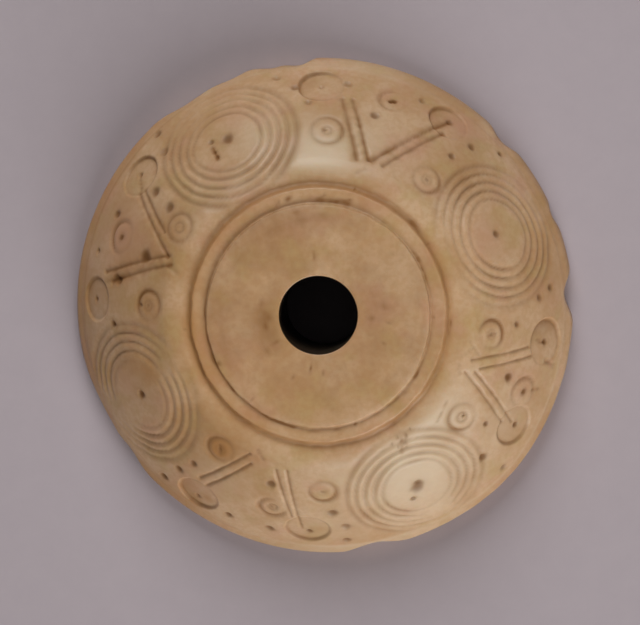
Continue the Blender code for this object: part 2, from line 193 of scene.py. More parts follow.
# A place on the dome is its angle round the hole in degrees, and its share of the way down the
# dome, from 0 at the shoulder to 1 at the rim band.
carving = {
    "roundels": ((24.2, 0.46), (118.6, 0.43), (205.3, 0.53), (298.5, 0.49)),
    "roundelGrooves": ((2.75, 0.14, 0.09), (3.43, 0.16, 0.18), (4.14, 0.17, 0.19), (4.81, 0.17, 0.18),
                       (5.48, 0.24, 0.13)),  # radius, half width, depth
    "roundelSoil": (0.36, 0.35),  # the same all over, and by patches
    "flatMiddle": (2.6, 0.6),  # inside the grooves: radius, how much of the dome's curve is cut away
    "waver": 0.06,  # how far the edges of roundels and terminals wander
    # where grooves are worn or stand out: roundel, direction, half width, from and to radius, change
    "grooveWear": ((0, 75.0, 30.0, 4.4, 6.0, -0.8), (0, 268.0, 32.0, 4.8, 6.0, -0.8),
                   (0, 215.0, 38.0, 2.0, 3.0, 0.7), (0, 205.0, 30.0, 3.2, 5.0, 0.3),
                   (0, 350.0, 32.0, 2.4, 5.7, 0.5), (0, 125.0, 30.0, 2.4, 5.2, 0.4),
                   (1, 72.0, 36.0, 3.0, 6.0, -0.75), (1, 185.0, 32.0, 2.0, 3.0, 0.6),
                   (1, 195.0, 30.0, 3.0, 5.8, 0.3), (1, 320.0, 60.0, 2.4, 5.8, 0.25),
                   (2, 80.0, 32.0, 2.4, 6.0, -1.0), (2, 190.0, 60.0, 2.0, 3.0, -0.6),
                   (2, 250.0, 17.0, 2.0, 6.0, -0.75), (2, 200.0, 34.0, 3.3, 5.0, 0.2),
                   (2, 310.0, 46.0, 2.4, 6.0, -0.3), (2, 20.0, 26.0, 3.0, 5.8, 0.3),
                   (3, 85.0, 32.0, 2.8, 6.0, -0.8), (3, 185.0, 28.0, 2.0, 3.0, 0.4),
                   (3, 195.0, 40.0, 3.0, 5.8, 0.2), (3, 165.0, 24.0, 4.6, 5.1, 0.5),
                   (3, 350.0, 22.0, 3.2, 5.0, 0.3)),
    # place, radius, the side that is cut deeper as a direction on the table, its tilt
    "terminals": ((55.8, 0.815, 1.64, 140.0, 0.08), (89.6, 0.77, 1.80, 150.0, 0.075),
                  (144.1, 0.765, 1.74, 62.0, 0.05), (178.4, 0.80, 1.68, 100.0, 0.02),
                  (236.0, 0.81, 1.74, 215.0, 0.08), (265.6, 0.75, 1.76, 250.0, 0.04),
                  (329.2, 0.74, 1.68, 245.0, 0.03), (352.3, 0.785, 1.84, 80.0, 0.09)),
    "terminalDepth": 0.17,
    # place, radius, the side where the groove is strongest, how much stronger, dirt, inner ring, dot
    "rings": ((70.8, 0.75, 1.10, 175.0, 0.9, 0.4, 0.1, 0.3),
              (87.2, 0.33, 1.28, 340.0, 0.3, 0.8, 0.6, 0.1),
              (51.3, 0.24, 1.15, 310.0, 0.4, 0.8, 0.4, 0.45),
              (160.5, 0.62, 1.28, 150.0, 0.8, 0.6, 0.1, 1.0),
              (148.8, 0.14, 1.15, 135.0, 0.3, 0.75, 0.6, 0.0),
              (178.3, 0.225, 1.18, 95.0, 0.6, 1.0, 0.4, 0.3),
              (255.6, 0.55, 1.12, 215.0, 0.7, 0.7, 1.0, 0.4),
              (233.8, 0.22, 1.12, 140.0, 0.5, 0.8, 0.3, 0.5),
              (270.2, 0.30, 1.10, 290.0, 0.4, 0.85, 0.2, 0.2),
              (338.4, 0.67, 1.24, 95.0, 0.6, 0.5, 0.2, 1.1),
              (353.8, 0.23, 1.18, 45.0, 0.7, 0.9, 0.4, 0.45),
              (324.2, 0.25, 1.22, 215.0, 0.6, 0.65, 0.8, 0.2)),
    "ringGroove": (0.18, 0.11),  # half width, depth
    "innerRing": (0.36, 0.12),  # radius, half width
    # the paired lines of the V figures: from, to, half width, dirt
    "arms": (((55.2, 0.69), (66.4, 0.14), 0.21, 0.75), ((55.8, 0.83), (70.7, 0.14), 0.22, 0.75),
             ((81.1, 0.65), (71.9, 0.14), 0.19, 0.85), ((83.8, 0.64), (75.9, 0.12), 0.21, 0.7),
             ((146.3, 0.62), (153.1, 0.24), 0.19, 0.7), ((148.0, 0.655), (159.9, 0.12), 0.20, 0.65),
             ((170.9, 0.70), (160.0, 0.14), 0.21, 0.85), ((172.8, 0.61), (162.3, 0.08), 0.23, 0.9),
             ((233.9, 0.61), (243.2, 0.11), 0.16, 0.6), ((236.6, 0.64), (245.0, 0.19), 0.16, 0.65),
             ((261.0, 0.61), (254.0, 0.16), 0.13, 0.5), ((263.9, 0.75), (257.8, 0.14), 0.12, 0.55),
             ((328.6, 0.61), (338.9, 0.09), 0.13, 0.5), ((330.0, 0.70), (340.1, 0.17), 0.13, 0.55),
             ((348.3, 0.64), (341.8, 0.20), 0.14, 0.6), ((350.7, 0.60), (344.0, 0.11), 0.16, 0.6)),
    "armDepth": 0.14,
    # each dot's place, radius and how dark it is
    "dots": ((24.6, 0.44, 0.28, 0.65), (41.3, 0.94, 0.21, 0.75), (47.4, 0.76, 0.30, 0.65),
             (49.9, 0.55, 0.26, 0.65), (64.1, 0.875, 0.28, 0.35), (74.2, 0.54, 0.31, 0.65),
             (83.0, 0.81, 0.34, 0.35), (93.0, 0.59, 0.27, 0.3), (96.5, 0.76, 0.32, 0.5),
             (100.8, 0.90, 0.31, 0.28), (122.7, 0.50, 0.21, 0.6), (123.3, 0.40, 0.13, 0.35),
             (123.3, 0.35, 0.15, 0.4), (135.2, 0.735, 0.36, 0.4),
             (144.5, 0.52, 0.38, 0.7), (145.5, 0.315, 0.37, 0.7), (155.7, 0.77, 0.29, 0.75),
             (162.7, 0.325, 0.45, 1.0), (166.4, 0.855, 0.22, 0.45), (184.4, 0.60, 0.24, 0.8),
             (205.4, 0.51, 0.33, 0.9), (226.7, 0.925, 0.32, 0.95), (228.1, 0.69, 0.33, 0.85),
             (230.0, 0.52, 0.29, 0.7), (245.0, 0.855, 0.29, 0.8), (253.5, 0.30, 0.36, 0.75),
             (255.9, 0.83, 0.33, 0.75), (272.6, 0.53, 0.36, 0.7), (275.6, 0.71, 0.36, 0.5),
             (275.2, 0.905, 0.28, 0.6), (295.6, 0.59, 0.2, 0.5), (317.7, 0.67, 0.3, 0.7),
             (326.1, 0.47, 0.23, 0.7), (341.3, 0.47, 0.34, 0.95),
             (357.2, 0.46, 0.24, 0.65), (4.1, 0.70, 0.27, 0.6), (6.2, 0.83, 0.28, 0.7),
             (133.7, 0.95, 0.32, 0.6), (318.7, 0.925, 0.26, 0.45),
             # in the terminals
             (55.5, 0.845, 0.26, 0.65), (89.6, 0.77, 0.19, 0.12), (143.9, 0.785, 0.2, 0.35),
             (178.4, 0.82, 0.2, 0.65), (236.1, 0.865, 0.22, 0.45), (266.0, 0.80, 0.25, 0.8),
             (329.5, 0.765, 0.25, 0.8), (352.4, 0.79, 0.25, 0.85),
             # in a ring, beside its middle
             (87.9, 0.33, 0.12, 0.35), (71.4, 0.73, 0.15, 1.0), (70.4, 0.745, 0.16, 1.0),
             (178.5, 0.30, 0.2, 0.3), (324.9, 0.255, 0.11, 0.4),
             # worn wide
             (118.1, 0.45, 0.42, 0.75), (298.4, 0.50, 0.45, 0.65), (299.3, 0.46, 0.3, 0.5),
             (171.6, 0.575, 0.30, 0.8), (172.3, 0.54, 0.28, 0.8)),
    "dotDepth": 0.14,
    # stray cuts: from, to, half width, depth, dirt
    "scratches": (((123.3, 0.445), (123.4, 0.33), 0.15, 0.1, 1.1),
                  ((352.1, 0.775), (352.5, 0.695), 0.09, 0.06, 0.9),
                  ((173.2, 0.69), (172.8, 0.60), 0.16, 0.06, 0.5),
                  ((144.1, 0.78), (146.6, 0.67), 0.13, 0.06, 0.6),
                  ((347.6, 0.82), (346.9, 0.93), 0.2, 0.12, 0.25),
                  ((348.5, 0.10), (344.6, 0.03), 0.12, 0.05, 0.2),
                  ((346.5, 0.15), (350.5, 0.06), 0.12, 0.05, 0.2),
                  ((337.5, 0.05), (341.0, 0.02), 0.12, 0.05, 0.2),
                  ((318.0, 0.10), (326.0, 0.06), 0.1, 0.04, 0.35),
                  ((159.0, 0.10), (164.5, 0.03), 0.14, 0.06, 0.1),
                  ((164.5, 0.03), (163.6, 0.10), 0.14, 0.06, 0.05),
                  ((270.8, 0.30), (269.8, 0.30), 0.09, 0.04, 0.4),
                  ((339.5, 0.76), (340.1, 0.82), 0.15, 0.07, 0.6),
                  ((71.3, 0.735), (70.3, 0.75), 0.1, 0.05, 1.0),
                  ((234.6, 0.26), (233.0, 0.19), 0.14, 0.06, 0.5),
                  ((353.9, 0.26), (353.2, 0.21), 0.1, 0.04, 0.5),
                  ((303.5, 0.02), (300.5, 0.12), 0.16, 0.06, 0.5),
                  ((305.5, 0.02), (303.0, 0.10), 0.12, 0.05, 0.5),
                  ((245.5, 0.05), (248.5, 0.10), 0.12, 0.05, 0.4),
                  ((72.0, 0.06), (75.0, 0.02), 0.14, 0.04, 0.3)),
    "specks": ((302.3, 0.00), (305.6, 0.03), (308.4, 0.01), (300.6, 0.07), (299.0, 0.03), (303.4, 0.06)),
    "speckSize": (0.1, 0.03, 0.35),  # radius, depth, how dark
    # what makes depth and soil uneven: name, size of its patches, the noise's shift
    "patches": (("patch", 4.0, 31.0), ("cloud", 1.7, 11.0), ("fine", 0.5, 5.0)),
    # smaller faces: how far out from a dot in its radii, from a paired line, and from a terminal's edge
    "refinedOut": {"dots": 1.5, "arms": 0.33, "terminals": 0.25},
}


def outOfDome(angle, share):
    slope = shoulderSlope + share * (edgeSlope - shoulderSlope)
    turn = math.radians(angle)
    return np.array((math.sin(slope) * math.cos(turn), math.sin(slope) * math.sin(turn), math.cos(slope)))


def fromPlace(ways, angle, share):
    # how far each way out of the dome lies across and down from a place, in millimetres, or
    # further than any carving reaches where it is on another side of the dome
    centre = outOfDome(angle, share)
    turn = math.radians(angle)
    across = np.array((-math.sin(turn), math.cos(turn), 0.0))
    down = np.cross(across, centre)
    near = ways @ centre > 0.5
    farOff = 99.0
    return tuple(np.where(near, ballRadius * (ways @ way), farOff) for way in (across, down))


def towardsSide(across, down, angle, side):
    # how far each point lies on one side of a place, the side given as a direction on the table
    turn = math.radians(side - angle)
    return across * math.sin(turn) + down * math.cos(turn)


def anglesOf(points):
    return np.degrees(np.arctan2(points[:, 1], points[:, 0]))


def outOfMiddle(points):
    return np.hypot(points[:, 0], points[:, 1])


def aroundTo(angle, middle):
    return (angle - middle + 180.0) % 360.0 - 180.0


def noiseAt(points, size, shift):
    offset = Vector((shift, 0.0, 0.0))
    return np.array([noise.noise(Vector(point) / size + offset) for point in points])


def fadeIn(low, high, value):
    share = np.clip((value - low) / (high - low), 0.0, 1.0)
    return share * share * (3.0 - 2.0 * share)


def bell(distance, halfWidth):
    return np.exp(-(distance / halfWidth) ** 2)


def vee(distance, halfWidth):
    return np.exp(-(np.abs(distance) / halfWidth) ** 1.5)


def atSide(angle, middle, halfWidth, strength):
    return strength * bell(aroundTo(angle, middle), halfWidth)


def roundelWear(number, away, direction, cloud):
    # how much of its depth a roundel's groove keeps
    kept = np.clip(0.9 + 0.5 * cloud, 0.6, 1.15)
    for which, middle, halfWidth, nearest, furthest, change in carving["grooveWear"]:
        if which == number:
            reach = fadeIn(nearest - 0.3, nearest + 0.3, away)
            reach = reach * (1.0 - fadeIn(furthest, furthest + 0.4, away))
            kept = kept + atSide(direction, middle, halfWidth, change) * reach
    return np.clip(kept, 0.0, 1.7)


def cutRoundels(surface):
    evenSoil, patchySoil = carving["roundelSoil"]
    flatRadius, flatShare = carving["flatMiddle"]
    for number, (angle, share) in enumerate(carving["roundels"]):
        across, down = fromPlace(surface["ways"], angle, share)
        away = np.hypot(across, down) + carving["waver"] * surface["cloud"]
        direction = np.degrees(np.arctan2(down, across))
        kept = roundelWear(number, away, direction, surface["cloud"])
        for radius, halfWidth, cut in carving["roundelGrooves"]:
            groove = kept * vee(away - radius, halfWidth * (1.0 + 0.3 * surface["cloud"]))
            surface["depth"] += cut * groove
            surface["dirt"] += groove * np.clip(evenSoil + patchySoil * surface["patch"], 0.15, 0.65)
        flat = flatShare * (flatRadius**2 - away**2) / (2 * ballRadius)
        surface["depth"] += np.where(away < flatRadius, flat, 0.0)


def cutTerminals(surface):
    # flat-bottomed discs, cut deeper on one side, and browner along the walls and on the deeper side
    for angle, share, radius, side, tilt in carving["terminals"]:
        across, down = fromPlace(surface["ways"], angle, share)
        away = np.hypot(across, down) + carving["waver"] * surface["cloud"]
        sideways = towardsSide(across, down, angle, side)
        inside = 1.0 - fadeIn(radius - 0.13, radius + 0.07, away)
        surface["depth"] += inside * np.clip(carving["terminalDepth"] + tilt * sideways, 0.05, 0.5)
        deepSide = fadeIn(-0.9 * radius, 0.9 * radius, sideways)
        wall = bell(away - radius + 0.1, 0.15)
        surface["dirt"] += wall * (0.1 + 0.35 * deepSide + 0.15 * surface["fine"])
        surface["dirt"] += inside * (0.06 + 2.6 * tilt * fadeIn(0.0, 0.8 * radius, sideways))


def cutRings(surface):
    # a soft groove, stronger on one side, with a smaller ring and a dot in it
    halfWidth, cut = carving["ringGroove"]
    for angle, share, radius, side, stronger, dirt, innerRing, dot in carving["rings"]:
        across, down = fromPlace(surface["ways"], angle, share)
        away = np.hypot(across, down) + 0.08 * surface["cloud"]
        lean = np.clip(towardsSide(across, down, angle, side) / radius, -1.0, 1.0)
        kept = np.clip(0.85 + 0.5 * surface["cloud"] + stronger * lean, 0.1, 1.7)
        groove = kept * vee(away - radius + 0.08, halfWidth)
        innerRadius, innerHalfWidth = carving["innerRing"]
        inner = innerRing * bell(away - innerRadius, innerHalfWidth)
        surface["depth"] += cut * (groove + inner)
        surface["dirt"] += dirt * (0.8 * groove + 0.7 * inner)
        cutDot(surface, angle, share, 0.12 + 0.1 * dot, 0.08, dot)


def cutLine(surface, start, end, halfWidth, cut, dirt):
    first, last = outOfDome(*start), outOfDome(*end)
    length = np.linalg.norm(last - first)
    along = (last - first) / length
    middle = (first + last) / np.linalg.norm(first + last)
    fromFirst = surface["ways"] - first
    reach = (fromFirst @ along) / length
    beyond = ballRadius * length * np.clip(np.abs(reach - 0.5) - 0.5, 0.0, None)
    sideways = ballRadius * (fromFirst @ np.cross(middle, along)) + 0.03 * surface["cloud"]
    facing = surface["ways"] @ middle > 0.9
    groove = vee(sideways, halfWidth * (1.0 + 0.4 * surface["fine"])) * bell(beyond, 0.16) * facing
    kept = np.clip(0.9 + 0.4 * surface["cloud"] + 0.3 * surface["fine"], 0.5, 1.2)
    surface["depth"] += cut * groove
    surface["dirt"] += dirt * groove * kept


def cutDot(surface, angle, share, radius, cut, dark):
    # a pit with steep sides, and a little soil round it
    across, down = fromPlace(surface["ways"], angle, share)
    away = np.hypot(across, down) * (1.0 + 0.25 * surface["fine"])
    pit = np.exp(-(away / radius) ** 3.2)
    surface["depth"] += cut * pit
    surface["dark"] += dark * pit
    surface["dirt"] += dark * (0.3 * bell(away, 1.8 * radius) + 0.3 * pit)


def carve(ways, points):
    # how deep each point is cut, the brown dirt left in the grooves, and the dark of the pits
    surface = {name: np.zeros(len(ways)) for name in ("depth", "dirt", "dark")}
    surface["ways"] = ways
    for name, size, shift in carving["patches"]:
        surface[name] = noiseAt(points, size, shift)
    cutRoundels(surface)
    cutTerminals(surface)
    cutRings(surface)
    for start, end, halfWidth, dirt in carving["arms"]:
        cutLine(surface, start, end, halfWidth, carving["armDepth"], dirt)
    for scratch in carving["scratches"]:
        cutLine(surface, *scratch)
    for angle, share, radius, dark in carving["dots"]:
        cutDot(surface, angle, share, radius, carving["dotDepth"], dark)
    for angle, share in carving["specks"]:
        cutDot(surface, angle, share, *carving["speckSize"])
    return surface


def spotOnDome(place):
    return ballCentre + ballRadius * outOfDome(*place)


def farFrom(middles, spot):
    return np.linalg.norm(middles - spot, axis=1)


def refineCarving(bm):
    # smaller faces round the small pits, along the paired lines and round the terminals
    out = carving["refinedOut"]
    middles = np.array([face.calc_center_median() for face in bm.faces])
    onDome = np.abs(farFrom(middles, ballCentre) - ballRadius) < 0.1
    near = np.zeros(len(middles), bool)
    for angle, share, radius, dark in carving["dots"]:
        near |= farFrom(middles, spotOnDome((angle, share))) < out["dots"] * radius
    for start, end, halfWidth, dirt in carving["arms"]:
        first = spotOnDome(start)
        along = spotOnDome(end) - first
        reach = np.clip((middles - first) @ along / (along @ along), 0.0, 1.0)
        near |= farFrom(middles, first + reach[:, None] * along) < out["arms"]
    for angle, share, radius, side, tilt in carving["terminals"]:
        near |= np.abs(farFrom(middles, spotOnDome((angle, share))) - radius) < out["terminals"]
    near &= onDome
    bm.faces.index_update()
    chosen = [edge for edge in bm.edges if any(near[face.index] for face in edge.link_faces)]
    bmesh.ops.subdivide_edges(bm, edges=chosen, cuts=1, use_grid_fill=True)
    print("carving refined:", len(bm.faces), "faces")


# Worn places and lumps

collarWear = {
    "shift": (-0.04, -0.06),  # how far the disc lies off the middle
    "waver": ((0.07, 1.1, 41.0), (0.05, 0.45, 43.0)),  # of its edges: how far, size, the noise's shift
    "unevenness": (0.02, 2.2, 47.0),
}


def rimLoss(degrees):
    loss = np.zeros(len(degrees))
    for middle, halfWidth, depth in rimWear:
        away = aroundTo(degrees, middle)
        inside = np.abs(away) < halfWidth
        loss += np.where(inside, depth * np.cos(np.radians(90.0 * away / halfWidth)) ** 2, 0.0)
    return loss


def cutOff(beyond):
    # how far a point comes in: all of what stands out beyond the worn outline, with a soft turn
    softTurn = 0.06
    return softTurn * np.logaddexp(0.0, beyond / softTurn)


def shapeCollar(points):
    # the disc lies a little off the middle, and the edges of the disc and the ledge waver
    radius = outOfMiddle(points)
    onTop = points[:, 2] > shoulderHeight - 0.9
    atDisc = fadeIn(4.0, 8.2, radius) * (1.0 - fadeIn(discRadius + 0.3, ledgeOuter - 0.2, radius))
    points[:, :2] += (onTop * atDisc)[:, None] * np.array(collarWear["shift"])
    near = onTop * fadeIn(discRadius - 0.5, discRadius, radius)
    near = near * (1.0 - fadeIn(ledgeOuter + 0.3, shoulderRadius, radius))
    waver = sum(far * noiseAt(points, size, shift) for far, size, shift in collarWear["waver"])
    points[:, :2] *= (1.0 + near * waver / np.maximum(radius, 1.0))[:, None]
    far, size, shift = collarWear["unevenness"]
    outOfBore = fadeIn(whorl["boreRadius"] + 0.2, 4.0, radius)
    points[:, 2] += onTop * outOfBore * far * noiseAt(points, size, shift)


def stretchOval(points):
    turn = Matrix.Rotation(math.radians(whorl["ovalDirection"]), 3, "Z")
    longer = whorl["oval"] / whorl["rimRadius"]
    stretch = np.array(turn @ Matrix.Diagonal((1.0 + longer, 1.0 - longer, 1.0)) @ turn.inverted())
    outside = fadeIn(ledgeOuter + 0.1, shoulderRadius, outOfMiddle(points))
    points += outside[:, None] * (points @ stretch.T - points)


def wearRim(points):
    # the place where the rim stands out, then its chips and flats
    radius = outOfMiddle(points)
    swell = atSide(anglesOf(points), *rimSwell)
    points[:, :2] *= (1.0 + swell * fadeIn(15.0, 18.5, radius) / np.maximum(radius, 1.0))[:, None]
    radius = outOfMiddle(points)
    rough = 0.04 * (0.5 + noiseAt(points, 1.6, 21.0))
    loss = rimLoss(anglesOf(points)) + rough
    beyond = radius - whorl["rimRadius"] + loss - swell
    points[:, :2] *= (1.0 - cutOff(beyond) / radius)[:, None]


def shapeWhorl(bm):
    points = np.array([vert.co for vert in bm.verts])
    distance = farFrom(points, ballCentre)
    ways = (points - ballCentre) / distance[:, None]
    slope = np.arccos(np.clip(ways[:, 2], -1.0, 1.0))
    share = (slope - shoulderSlope) / (edgeSlope - shoulderSlope)
    onDome = (np.abs(distance - ballRadius) < 0.7) & (points[:, 2] > 1.5)
    inReach = fadeIn(-0.07, 0.01, share) * (1.0 - fadeIn(0.95, 1.03, share)) * onDome
    surface = carve(ways, points)
    lumps = whorl["lumps"] * noiseAt(points, 3.5, 7.0) + 0.2 * whorl["lumps"] * surface["fine"]
    depth = (surface["depth"] + 0.02 + lumps) * inReach
    points -= depth[:, None] * ways
    stretchOval(points)
    shapeCollar(points)
    wearRim(points)
    for vert, point in zip(bm.verts, points):
        vert.co = point
    dirt, dark = surface["dirt"] * inReach, surface["dark"] * inReach
    surface.update(points=points, share=share, dirt=dirt, dark=dark)
    print("carving cut")
    return surface


# Materials

def srgb(red, green, blue):
    # a colour as it looks on screen, 0 to 255, as the light it gives back
    colour = []
    for value in (red / 255, green / 255, blue / 255):
        colour.append(value / 12.92 if value < 0.04045 else ((value + 0.055) / 1.055) ** 2.4)
    return (*colour, 1.0)


def newMaterial(name):
    material = bpy.data.materials.new(name)
    material.use_nodes = True
    tree = material.node_tree
    return material, tree, tree.nodes["Principled BSDF"]


def addNode(tree, kind, **settings):
    node = tree.nodes.new("ShaderNode" + kind)
    for name, value in settings.items():
        setattr(node, name, value)
    return node


def patternAt(tree, size, detail=3.0, roughness=0.55):
    # cloudy pattern whose patches are about one size across, in millimetres
    place = addNode(tree, "TexCoord")
    cloud = addNode(tree, "TexNoise")
    cloud.inputs["Scale"].default_value = 1.0 / (size * metre)
    cloud.inputs["Detail"].default_value = detail
    cloud.inputs["Roughness"].default_value = roughness
    tree.links.new(place.outputs["Object"], cloud.inputs["Vector"])
    return cloud.outputs["Fac"]


def rangeOf(tree, value, low, high, toLow=0.0, toHigh=1.0):
    remap = addNode(tree, "MapRange", interpolation_type="SMOOTHSTEP")
    remap.inputs["From Min"].default_value = low
    remap.inputs["From Max"].default_value = high
    remap.inputs["To Min"].default_value = toLow
    remap.inputs["To Max"].default_value = toHigh
    tree.links.new(value, remap.inputs["Value"])
    return remap.outputs["Result"]


def mixColour(tree, first, second, share):
    mix = addNode(tree, "Mix", data_type="RGBA")
    if isinstance(first, tuple):
        mix.inputs["A"].default_value = first
    else:
        tree.links.new(first, mix.inputs["A"])
    mix.inputs["B"].default_value = second
    tree.links.new(share, mix.inputs["Factor"])
    return mix.outputs["Result"]


def painted(tree, name):
    layer = addNode(tree, "Attribute", attribute_name=name)
    return layer.outputs["Fac"]


boneFinish = {
    "pale": srgb(222, 186, 146),
    "tan": srgb(203, 161, 116),
    "pink": srgb(212, 160, 128),
    "olive": srgb(204, 172, 118),
    # honey stains, also used to paint shade on the side away from both lamps
    "honeyAndShade": srgb(190, 136, 78),
    # pale of wear, also used to paint sheen where the lamps face the dome, the rim and the crease
    "wearAndSheen": srgb(230, 206, 172),
    # brown soil, also used to paint shade on the low rim band and along the crease
    "dirt": srgb(148, 99, 50),
    "dark": srgb(128, 84, 38),
    # near-black for the bore: painted shade of the deep hole, with some soot
    "sootAndShade": srgb(20, 15, 11),
    # cloudy layers over the pale bone: colour, size in millimetres, detail, where it fades in, strength
    "mottling": (("tan", 5.0, 3.0, 0.35, 0.65, 1.0), ("pink", 4.0, 2.0, 0.5, 0.7, 0.55),
                 ("olive", 2.6, 2.0, 0.5, 0.7, 0.6), ("honeyAndShade", 0.45, 3.0, 0.4, 0.62, 0.22)),
    "layers": ("pink", "wearAndSheen", "honeyAndShade", "dirt", "dark", "sootAndShade"),  # painted on the mesh, lowest first
    "roughness": 0.42,
    "dirtyRoughness": 0.8,
    "lightSinksIn": 0.3,
    "sinkColour": (1.0, 0.6, 0.35),
    "sinkDepth": 0.6,
    "grainSize": 0.35,
    "grainDetail": 4.0,
    "grainStrength": 0.35,
    "grainHeight": 0.03,
}


def wornBone():
    material, tree, shader = newMaterial("worn_bone_polished")
    finish = boneFinish
    base = finish["pale"]
    for colour, size, detail, low, high, most in finish["mottling"]:
        share = rangeOf(tree, patternAt(tree, size, detail), low, high, 0.0, most)
        base = mixColour(tree, base, finish[colour], share)
    for name in finish["layers"]:
        base = mixColour(tree, base, finish[name], painted(tree, name))
    tree.links.new(base, shader.inputs["Base Color"])
    soiled = rangeOf(tree, painted(tree, "dirt"), 0.0, 0.7, finish["roughness"], finish["dirtyRoughness"])
    tree.links.new(soiled, shader.inputs["Roughness"])
    shader.inputs["Subsurface Weight"].default_value = finish["lightSinksIn"]
    shader.inputs["Subsurface Radius"].default_value = finish["sinkColour"]
    shader.inputs["Subsurface Scale"].default_value = finish["sinkDepth"] * metre
    bump = addNode(tree, "Bump")
    bump.inputs["Strength"].default_value = finish["grainStrength"]
    bump.inputs["Distance"].default_value = finish["grainHeight"] * metre
    tree.links.new(patternAt(tree, finish["grainSize"], finish["grainDetail"]), bump.inputs["Height"])
    tree.links.new(bump.outputs["Normal"], shader.inputs["Normal"])
    return material


paper = {
    "light": srgb(190, 178, 182),
    "shade": srgb(182, 170, 175),
    "grainSize": 2.0,
    "grainDetail": 5.0,
    "grainRoughness": 0.7,
    "roughness": 0.9,
    "halfWidth": 600.0,
    "drop": 0.02,  # how far it lies under the whorl
}


def palePaper():
    material, tree, shader = newMaterial("pale_paper")
    grain = patternAt(tree, paper["grainSize"], paper["grainDetail"], paper["grainRoughness"])
    tree.links.new(mixColour(tree, paper["light"], paper["shade"], grain), shader.inputs["Base Color"])
    shader.inputs["Roughness"].default_value = paper["roughness"]
    return material


# Making the pieces

# Spots on the dome: pink and honey stains, and pale places that are partly wear and partly painted sheen
# where the lamps face the dome: place, radius in millimetres, strength
domeSpots = {
    "pink": ((52.5, 0.88, 1.2, 0.6), (209.5, 0.33, 1.1, 0.5), (347.0, 0.89, 0.4, 0.6),
             (160.2, 0.64, 1.2, 0.5), (161.0, 0.60, 2.2, 0.7), (24.5, 0.33, 1.8, 0.5),
             (201.0, 0.62, 1.4, 0.4), (238.0, 0.60, 1.6, 0.5), (62.0, 0.30, 1.6, 0.35),
             (113.0, 0.60, 1.3, 0.4), (343.0, 0.75, 1.6, 0.3)),
    # paler where worn, and painted sheen on the shoulder and dome round 90 and 300 degrees, facing the
    # two lamps
    "wearAndSheen": ((300.0, 0.34, 4.9, 0.8), (302.0, 0.06, 2.6, 0.6), (314.0, 0.08, 3.6, 0.75),
             (90.0, 0.10, 3.0, 0.85), (74.0, 0.30, 2.2, 0.4), (108.0, 0.34, 2.2, 0.5),
             (272.0, 0.70, 3.2, 0.3), (328.0, 0.62, 2.4, 0.35), (130.0, 0.06, 2.0, 0.3),
             (124.0, 0.02, 2.2, 0.35), (238.0, 0.45, 2.0, 0.3)),
    "honeyAndShade": ((233.8, 0.22, 1.25, 0.95), (200.5, 0.33, 1.2, 0.55), (197.0, 0.42, 1.0, 0.35),
              (232.4, 0.79, 0.9, 0.5), (238.6, 0.80, 0.6, 0.6), (268.6, 0.76, 0.6, 0.4),
              (150.0, 0.20, 1.6, 0.35), (240.0, 0.15, 2.4, 0.3), (177.0, 0.24, 1.4, 0.45),
              (169.0, 0.50, 1.8, 0.3)),
}

# Stains of the rim, then the places where it is painted paler: angle, half width in degrees, strength
rimStains = ((25.0, 18.0, 0.35), (145.0, 22.0, 0.42), (182.0, 24.0, 0.2), (232.0, 16.0, 0.32),
             (325.0, 16.0, 0.15))
rimPale = ((80.0, 14.0, 0.3), (116.0, 12.0, 0.2), (276.0, 18.0, 0.4))

# Soil on the ledge and in the cove: angle, radius in millimetres, size across and out, strength
collarMarks = (
    (74.5, 9.04, 0.18, 0.08, 0.6), (76.5, 8.78, 0.55, 0.2, 0.5), (80.0, 8.72, 0.8, 0.22, 0.35),
    (87.0, 9.1, 0.18, 0.12, 0.5), (90.5, 8.85, 0.6, 0.18, 0.4), (85.0, 8.7, 0.9, 0.16, 0.3),
    (104.5, 9.08, 0.3, 0.2, 0.7), (109.3, 8.95, 0.12, 0.2, 0.45), (111.0, 8.85, 0.1, 0.15, 0.35),
    (136.0, 8.8, 0.9, 0.2, 0.2), (150.0, 8.75, 1.2, 0.2, 0.25), (359.0, 8.66, 0.12, 0.1, 0.7),
    (22.0, 8.58, 0.5, 0.06, 0.4), (30.5, 8.66, 0.5, 0.12, 0.55), (26.0, 8.7, 0.8, 0.15, 0.25),
    (178.5, 8.6, 0.6, 0.06, 0.4), (192.0, 8.6, 1.2, 0.06, 0.15), (202.5, 8.68, 0.5, 0.14, 0.6),
    (206.0, 8.42, 0.25, 0.1, 0.6), (221.0, 8.62, 0.4, 0.08, 0.7), (213.0, 8.62, 1.5, 0.08, 0.15),
    (244.0, 8.64, 0.8, 0.08, 0.6), (249.0, 8.68, 0.8, 0.1, 0.75), (256.5, 8.7, 0.35, 0.1, 0.9),
    (266.0, 8.78, 0.6, 0.15, 0.2), (279.0, 8.75, 0.3, 0.12, 0.45), (288.7, 8.74, 0.1, 0.1, 1.2),
    (318.5, 8.8, 0.3, 0.14, 0.4), (312.0, 8.66, 0.6, 0.1, 0.25), (328.5, 8.68, 0.35, 0.12, 0.6),
    (356.5, 9.97, 0.25, 0.1, 0.8), (353.0, 9.95, 0.7, 0.15, 0.35), (44.0, 9.93, 0.45, 0.22, 0.75),
    (33.0, 9.87, 0.12, 0.15, 0.45), (41.0, 9.9, 0.5, 0.15, 0.25), (74.0, 9.87, 0.08, 0.12, 0.6),
    (295.0, 10.2, 0.4, 0.2, 0.35), (186.5, 10.2, 0.12, 0.12, 0.5), (304.5, 10.0, 0.2, 0.15, 0.35),
)

